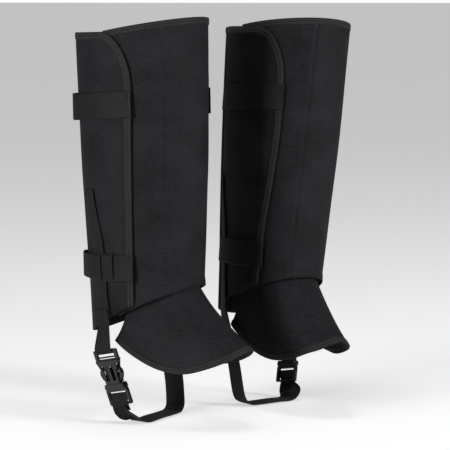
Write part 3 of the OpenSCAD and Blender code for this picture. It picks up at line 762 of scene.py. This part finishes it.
def round_end(middle, width, radius):
    """The share of the full width at each station, for a last end with rounded corners."""
    s = lengths(middle) * 1000
    left = np.clip(s[-1] - s, 0, radius)
    return 1 - (radius - np.sqrt(radius**2 - (radius - left) ** 2)) * 2 / width


def box_stitch(g, thread, first, last, z, half, at):
    """A stitched rectangle with its diagonals, on a strap."""
    corners = [(first, -half), (last, -half), (last, half), (first, half), (first, -half), (last, half)]
    corners += [(first, half), (last, -half)]
    for a, b in zip(corners, corners[1:]):
        share = np.linspace(0, 1, 20)
        angle = mix(a[0], b[0], share)
        height = z(angle) + mix(a[1], b[1], share)
        path = g.leg(angle, height, at + WEBBING_T + 0.05)
        thread.row(path, g.leg(angle, height, at + 5) - path, pitch=2.6, length=2.0, width=0.38)


def level_at(value):
    return lambda angle: angle * 0 + value


def end_stitch(g, thread, angle, z, at):
    """A close row of light stitches across the front end of a strap."""
    height = z(angle) + np.linspace(-0.46, 0.46, 30) * STRAP_W
    path = g.leg(angle, height, at + WEBBING_T + 0.05)
    thread.row(path, g.leg(angle, height, at + 5) - path, pitch=1.9, length=1.8, width=0.55)


def lateral_straps(g, thread, light_thread):
    edge = lateral_edge(UPPER_STRAP_Z) - 1

    def upper_at(angle):
        return mix(UPPER_STRAP_AT, TONGUE_AT, ease((angle - FOLD + 16) / 24))

    middle, out = strap_stations(g, edge, TONGUE_END, upper_z, upper_at)
    taper = round_end(middle, STRAP_W, 9)
    upper = band(g.name("upper_strap"), middle, out, taper * 0, STRAP_W, taper=taper)
    g.bend(upper, "upper_tongue", FOLD - 0.35)
    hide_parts(g.name("upper_tongue"))
    box_stitch(g, thread, edge + 2.6, edge + 12, upper_z, STRAP_W / 2 - 2.5, UPPER_STRAP_AT)
    end_stitch(g, light_thread, edge + 1.2, upper_z, UPPER_STRAP_AT)

    edge = lateral_edge(LOWER_STRAP_Z) - 1
    middle, out = strap_stations(g, edge, FOLD - 1, lower_z, level_at(LOWER_STRAP_AT))
    lower = band(g.name("lower_strap"), middle, out, np.zeros(len(middle)), STRAP_W)
    g.ride(lower, "leg_shell")
    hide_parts(g.name("lateral_straps"))
    box_stitch(g, thread, edge + 2.6, edge + 14, lower_z, STRAP_W / 2 - 2.5, LOWER_STRAP_AT)
    end_stitch(g, light_thread, edge + 1.2, lower_z, LOWER_STRAP_AT)


def lower_tongue(g):
    """The loose end of the lower lateral strap, from the keeper round the back of the calf."""
    start_at = LOWER_STRAP_AT + WEBBING_T + LAYER_GAP

    def at(angle):
        return mix(start_at, TONGUE_AT, ease((angle - FOLD) / CLIMB)) + 0.5 * ease((angle - 110) / 8)

    middle, out = strap_stations(g, LOWER_TONGUE_START, TONGUE_END, lower_z, at)
    width = STRAP_W - 2
    taper = round_end(middle, width, 9)
    tongue = band(g.name("lower_strap_tongue"), middle, out, taper * 0, width, taper=taper, bow=3)
    g.ride(tongue, "lower_tongue")
    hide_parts(g.name("lower_tongue"))


def strap_keeper(g):
    """A ribbed elastic band over the lower strap, pulled down to it above and below."""
    first, last = KEEPER_ENDS
    angle = np.linspace(first, last, 13)[:, None]
    across = np.linspace(-1, 1, 31)[None]
    half = STRAP_W / 2 + 1.6
    z = LOWER_STRAP_Z + across * half
    crown = 0.5 * bump(across, 0.7) - 5.2 * np.abs(across) ** 14
    ridges = 0.25 * bump(angle - first, 1) + 0.25 * bump(angle - last, 1)
    points = g.leg(angle, z, LOWER_STRAP_AT + 2 * WEBBING_T + LAYER_GAP + crown + ridges)
    uv = leg_uv(angle, z)[..., ::-1]
    piece = sheet(g.name("keeper_band"), points, uv, WEBBING_T, "elastic_band")
    g.ride(piece, "leg_shell")
    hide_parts(g.name("strap_keeper"))


def medial_straps(g, thread):
    """Straps from the medial wing's front edge on to the outer rear flap's free edge."""
    def rear_at(angle):
        return mix(LOWER_STRAP_AT, REAR_STRAP_AT, ease((360 - FOLD - angle) / CLIMB))

    rows = (
        ("upper", UPPER_STRAP_Z, upper_z, UPPER_STRAP_AT, 1),
        ("lower", LOWER_STRAP_Z, lower_z, LOWER_STRAP_AT, 3),
    )
    for label, strap_z, z, front_at, inset in rows:
        def at(angle):
            return mix(front_at, rear_at(angle), ease((360 - FOLD + 12 - angle) / 12))

        edge = 360 + medial_edge(strap_z) + inset
        middle, out = strap_stations(g, edge, MEDIAL_FLAP_END + 2, z, at)
        strap = band(g.name(f"medial_{label}_strap"), middle, out, np.zeros(len(middle)), STRAP_W)
        g.bend(strap, "outer_rear_flap", 360 - FOLD)
        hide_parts(g.name("medial_straps" if label == "upper" else "rear_straps"))
        box_stitch(g, thread, edge - 1.5, edge - 13, z, STRAP_W / 2 - 2.5, front_at)


# ---- Stirrup ----

BUCKLE_DOWN = unit(np.array([12.0, -13, -60]))
BUCKLE_SIDE = unit(np.cross([-1, 0.12, 0], BUCKLE_DOWN))
BUCKLE_OUT = np.cross(BUCKLE_DOWN, BUCKLE_SIDE)
STIRRUP_LEVELS = (125, 131, 140, 150, 170, 190, 210, 230, 250, TACK_Z)


def smooth_path(stations, steps=8):
    """A smooth curve through stations, each a row of numbers."""
    p = np.asarray(stations, float)
    p = np.concatenate([[2 * p[0] - p[1]], p, [2 * p[-1] - p[-2]]])
    found = []
    for a, b, c, d in zip(p, p[1:], p[2:], p[3:]):
        square, cube = 2 * a - 5 * b + 4 * c - d, 3 * b - a - 3 * c + d
        for t in np.arange(steps) / steps:
            found.append(0.5 * (2 * b + (c - a) * t + square * t**2 + cube * t**3))
    found.append(p[-2])
    return np.array(found)


def buckle_station(g, out, up, normal):
    middle = BUCKLE_MID + out * BUCKLE_OUT - up * BUCKLE_DOWN
    return np.concatenate([g.leaned(middle), g.leaned(middle + normal) - g.leaned(middle), [0]])


def leg_station(g, way, z, at):
    """A station on the leg, with the curl of the leg at that place."""
    angle = way * stirrup_angle_at(z) + np.array([-8, 0, 8])
    row = g.leaned(on_leg(angle, z, at))
    out = unit(g.leaned(on_leg(angle[1], z, at + 1)) - row[1])
    chord = row[2] - row[0]
    sag = (row[1] - (row[0] + row[2]) / 2) @ out
    return np.concatenate([row[1], out, [8 * sag / (chord @ chord)]])


def webbing(g, part, stations, width):
    """Webbing through stations of [middle, outward normal, curl] in the right gaiter's millimetres."""
    path = smooth_path(stations)
    middle = g.world(path[:, :3])
    out = g.world(path[:, :3] + unit(path[:, 3:6])) - middle
    return band(g.name(part), middle, out, path[:, 6], width)


def stirrup(g):
    """The fixed webbing, its end looped round the socket's bar, the strap under the boot and the tacks."""
    middle_at = STIRRUP_AT + WEBBING_T / 2
    stations = [leg_station(g, 1, z, middle_at) for z in (120, *STIRRUP_LEVELS)]
    fixed = webbing(g, "stirrup_strap", stations, STIRRUP_W)
    g.ride(fixed, "leg_shell")
    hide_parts(g.name("stirrup_webbing"))

    # Round the bar, with places given outward from and up above the buckle's middle, then up the leg
    lap_at = STIRRUP_AT + 1.5 * WEBBING_T + 0.7
    loop_out = 1.5 + WEBBING_T / 2 + LAYER_GAP
    stations = [
        buckle_station(g, -loop_out, 33, -BUCKLE_OUT),
        buckle_station(g, -loop_out, 31, -BUCKLE_OUT),
        buckle_station(g, -1.9, 29, BUCKLE_DOWN - BUCKLE_OUT),
        buckle_station(g, 1.9, 29, BUCKLE_DOWN + BUCKLE_OUT),
        buckle_station(g, loop_out, 31, BUCKLE_OUT),
        buckle_station(g, loop_out, 36, BUCKLE_OUT),
        leg_station(g, 1, 111, lap_at + 1.2),
        leg_station(g, 1, 119, lap_at + 0.6),
        leg_station(g, 1, 131, lap_at + 0.3),
    ]
    loop = webbing(g, "stirrup_end_loop", stations, STIRRUP_W - 1)
    g.ride(loop, "socket")
    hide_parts(g.name("stirrup_loop"))

    arch_y = -6
    above_ground = 1.2
    low = WEBBING_T / 2 + above_ground
    from_plug = ((0, -19), (0.8, -25), (3, -30), (3, -36))
    stations = [buckle_station(g, out, up, BUCKLE_OUT) for out, up in from_plug]
    end_x, end_y, end_z = buckle_station(g, 1.5, -42, BUCKLE_OUT)[:3]
    # Each bend is a place and an outward normal: under the boot, and up its medial side
    bends = (
        (end_x, end_y, end_z, -1, 0, -0.4),
        (end_x + 3, mix(end_y, arch_y, 0.75), 9.5, -0.3, 0, -1),
        (end_x + 12, arch_y, low, 0, 0, -1),
        (0, arch_y, low, 0, 0, -1),
        (32, arch_y, low, 0, 0, -1),
        (42, arch_y, 4, 0.8, 0, -1),
        (49, arch_y + 2, 14, 1, 0, -0.3),
        (52, 2, 50, 1, 0.05, 0),
        (51, 16, 84, 1, 0.2, 0),
    )
    stations += [np.array([*b, 0], float) for b in bends]
    stations += [leg_station(g, -1, z, middle_at) for z in (108, 116, *STIRRUP_LEVELS)]
    under = webbing(g, "stirrup_underfoot_strap", stations, STIRRUP_W)
    g.ride(under, "leg_shell")
    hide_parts(g.name("underfoot_webbing"))

    tacks = Thread()
    for way in (1, -1):
        z = np.linspace(TACK_Z - 7.5, TACK_Z - 3.5, 3)
        for angle in np.linspace(-8.5, 8.5, 20) + way * STIRRUP_ANGLE:
            path = g.leg(angle + (z - z[0]) * 0.1, z, middle_at + WEBBING_T / 2 + 0.1)
            tacks.row(path, g.leg(angle, z, 8) - path, pitch=4, length=4.2, width=0.7)
    tack_piece = tacks.piece(g.name("stirrup_bar_tacks"), "webbing")
    g.ride(tack_piece, "leg_shell")
    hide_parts(g.name("bar_tacks"))


# ---- Instep hood ----


def hood_point(g, angle, v, out):
    """The hood from its root inside the shell (v = 0) to its bound front edge (v = 1)."""
    angle, v, out = np.broadcast_arrays(angle, v, out)
    a = np.abs(angle)
    dip = HOOD_DIP * sind(1.5 * np.minimum(a, 60)) ** 2
    lift = HOOD_LIFT * (np.maximum(0, a - 60) / 30) ** 2
    tucked = ease((a - 60) / 30)
    x = -(HOOD_HALF_WIDTH - HOOD_TUCK * tucked + out) * sind(angle)
    y = HOOD_MIDDLE_Y + HOOD_TUCK_BACK * tucked - (HOOD_REACH + HOOD_MIDDLE_Y + out) * cosd(angle)
    edge = np.stack([x, y, HOOD_FRONT_Z - dip + lift], -1)

    def root(down):
        x = -(HEM_HALF_WIDTH - HOOD_ROOT_IN + out) * sind(angle)
        y = -(HEM_HALF_DEPTH - HOOD_ROOT_BACK + out) * cosd(angle)
        return g.leaned(np.stack([x, y, hem_at(angle) + HOOD_ROOT_UP - down], -1))

    w = v[..., None]
    raised = np.stack([out * 0, out * 0, out * v * cosd(angle)], -1)
    return root(0) * (1 - w) ** 2 + root(27) * 2 * w * (1 - w) + edge * w**2 + raised


def hood_relief(g, angle, v):
    """Soft ridges where the hood bends over the instep, and slack folds towards its corners."""
    ridge = 2.6 * (bump(angle - 38, 9) + bump(angle + 38, 9)) * ease(v * 1.4)
    hollow = -1.4 * (bump(angle - 60, 12) + bump(angle + 60, 12)) * v
    folds = 0.5 * np.sin(angle * 0.33 + v * 5 + (0.8 if g.side == "left" else 0)) * ease(np.abs(angle) / 40)
    return (ridge + hollow + folds) * ease((v - 0.12) / 0.2) + unevenness(angle, v * 90, 21, 0.35)


def hood(g):
    """The instep hood's cloth and its bound edge."""
    angle = np.linspace(-90, 90, 121)[:, None]
    v = np.linspace(0, 1, 61)[None]
    out = HOOD_T + hood_relief(g, angle, v)
    points = g.world(hood_point(g, angle, v, out))
    uv = np.stack(np.broadcast_arrays(np.radians(angle) * 0.07, v * 0.09), -1)
    cloth = sheet(g.name("hood_cloth"), points, uv, HOOD_T, "shell_fabric")
    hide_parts(g.name("instep_hood"))
    g.ride(cloth, "hood")

    thread = Thread()
    a = np.linspace(-90, 90, 181)
    middle = HOOD_T / 2 + hood_relief(g, a, a * 0 + 1)
    edge = hood_point(g, a, a * 0 + 1, middle)
    back = hood_point(g, a, a * 0 + 0.93, HOOD_T / 2 + hood_relief(g, a, a * 0 + 0.93))
    inward = unit(back - edge)
    normal = unit(np.cross(inward, np.gradient(edge, axis=0)))
    path = g.world(edge)
    inward = g.world(edge + inward) - path
    normal = g.world(edge + normal) - path
    tape = binding(g.name("hood_edge_binding"), path, inward, normal, HOOD_T, thread)
    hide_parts(g.name("hood_binding"))
    stitches = thread.piece(g.name("hood_stitches"))
    for piece in (tape, stitches):
        g.ride(piece, "hood")


# ---- Buckle and boards: the frame's own solids with their finishes, the buckle's with rounded edges ----


def finish_hard_parts(g):
    slots = {
        "buckle_socket": "buckle_plastic",
        "buckle_plug": "buckle_plastic",
        "front_prong": "buckle_plastic",
        "rear_prong": "buckle_plastic",
        "centre_board": "stiffener_board",
        "side_boards": "stiffener_board",
    }
    for part, slot in slots.items():
        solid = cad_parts[g.name(part)]
        for held in solid.material_slots:
            held.material = MATERIALS[slot]
        if slot == "buckle_plastic":
            rounding = solid.modifiers.new("rounded_edges", "BEVEL")
            rounding.width = 0.0006
            rounding.segments = 3
            rounding.limit_method = "ANGLE"
            rounding.angle_limit = math.radians(35)
            weighted = solid.modifiers.new("even_shading", "WEIGHTED_NORMAL")
            weighted.keep_sharp = True


# ---- Stage ----

# Camera, in metres from the foot of the right gaiter's axis
CAMERA_FROM_RIGHT = (-1.8463, -1.607, 0.479)
CAMERA_HEADING, CAMERA_DIP = 51.0, 5.95
CAMERA_LENS = 171.6
# Strength of the white room, as it lights the objects
ROOM_GLOW = 0.045


def aim(thing, target):
    thing.rotation_euler = (Vector(target) - thing.location).to_track_quat("-Z", "Y").to_euler()


def stage_camera():
    camera = bpy.data.objects.new("camera", bpy.data.cameras.new("camera"))
    camera.data.lens = CAMERA_LENS
    camera.data.sensor_width = 36
    camera.location = Vector(Gaiter("right").world([0, 0, 0])) + Vector(CAMERA_FROM_RIGHT)
    camera.rotation_euler = (math.radians(90 - CAMERA_DIP), 0, math.radians(-CAMERA_HEADING))
    bpy.context.scene.collection.objects.link(camera)
    bpy.context.scene.camera = camera


def area_light(name, place, size, power):
    """A square lamp that points at the middle of the pair, with its size in metres and power in watts."""
    light = bpy.data.objects.new(name, bpy.data.lights.new(name, "AREA"))
    light.data.size = size
    light.data.energy = power
    light.location = place
    aim(light, (0, 0, 0.25))
    bpy.context.scene.collection.objects.link(light)


def stage_room():
    """A white floor and room, which look brighter to the camera than they shine on the cloth."""
    bpy.ops.mesh.primitive_plane_add(size=1200, location=(0, 0, -0.0005))
    floor = bpy.context.object
    floor.name = "floor"
    paint = Shader("floor_paint", Roughness=0.7, Specular_IOR_Level=0.2)
    paint.surface.inputs["Base Color"].default_value = (0.86, 0.86, 0.86, 1)
    paint.surface.inputs["Emission Color"].default_value = (1, 1, 1, 1)
    seen = paint.tree.nodes.new("ShaderNodeLightPath").outputs["Is Camera Ray"]
    paint.put(paint.surface.inputs["Emission Strength"], paint.times(seen, 0.5))
    floor.data.materials.append(paint.material)
    world = bpy.data.worlds.new("room")
    world.use_nodes = True
    glow = world.node_tree.nodes["Background"].inputs["Strength"]
    world.node_tree.nodes["Background"].inputs["Color"].default_value = (1, 1, 1, 1)
    seen = world.node_tree.nodes.new("ShaderNodeLightPath").outputs["Is Camera Ray"]
    level = world.node_tree.nodes.new("ShaderNodeMapRange")
    level.inputs["To Min"].default_value = ROOM_GLOW
    level.inputs["To Max"].default_value = 1
    world.node_tree.links.new(seen, level.inputs["Value"])
    world.node_tree.links.new(level.outputs[0], glow)
    bpy.context.scene.world = world
    area_light("side", (-2.9, 0.35, 0.75), 0.9, 56)
    area_light("front", (0.75, -2.9, 1.1), 0.9, 60)
    area_light("top", (-0.2, 0.1, 2.6), 0.8, 12)
    bpy.context.scene.view_settings.view_transform = "Standard"


for side in ("right", "left"):
    gaiter = Gaiter(side)
    shell_thread = Thread()
    shin_panel(gaiter)
    rim_binding(gaiter, shell_thread)
    lining(gaiter)
    wings(gaiter)
    closure_strips(gaiter)
    strap_thread = Thread()
    lateral_straps(gaiter, strap_thread, shell_thread)
    lower_tongue(gaiter)
    strap_keeper(gaiter)
    medial_straps(gaiter, strap_thread)
    stirrup(gaiter)
    hood(gaiter)
    finish_hard_parts(gaiter)
    gaiter.ride(shell_thread.piece(gaiter.name("shell_stitches")), "leg_shell")
    gaiter.ride(strap_thread.piece(gaiter.name("strap_stitches"), "webbing"), "leg_shell")

stage_camera()
stage_room()
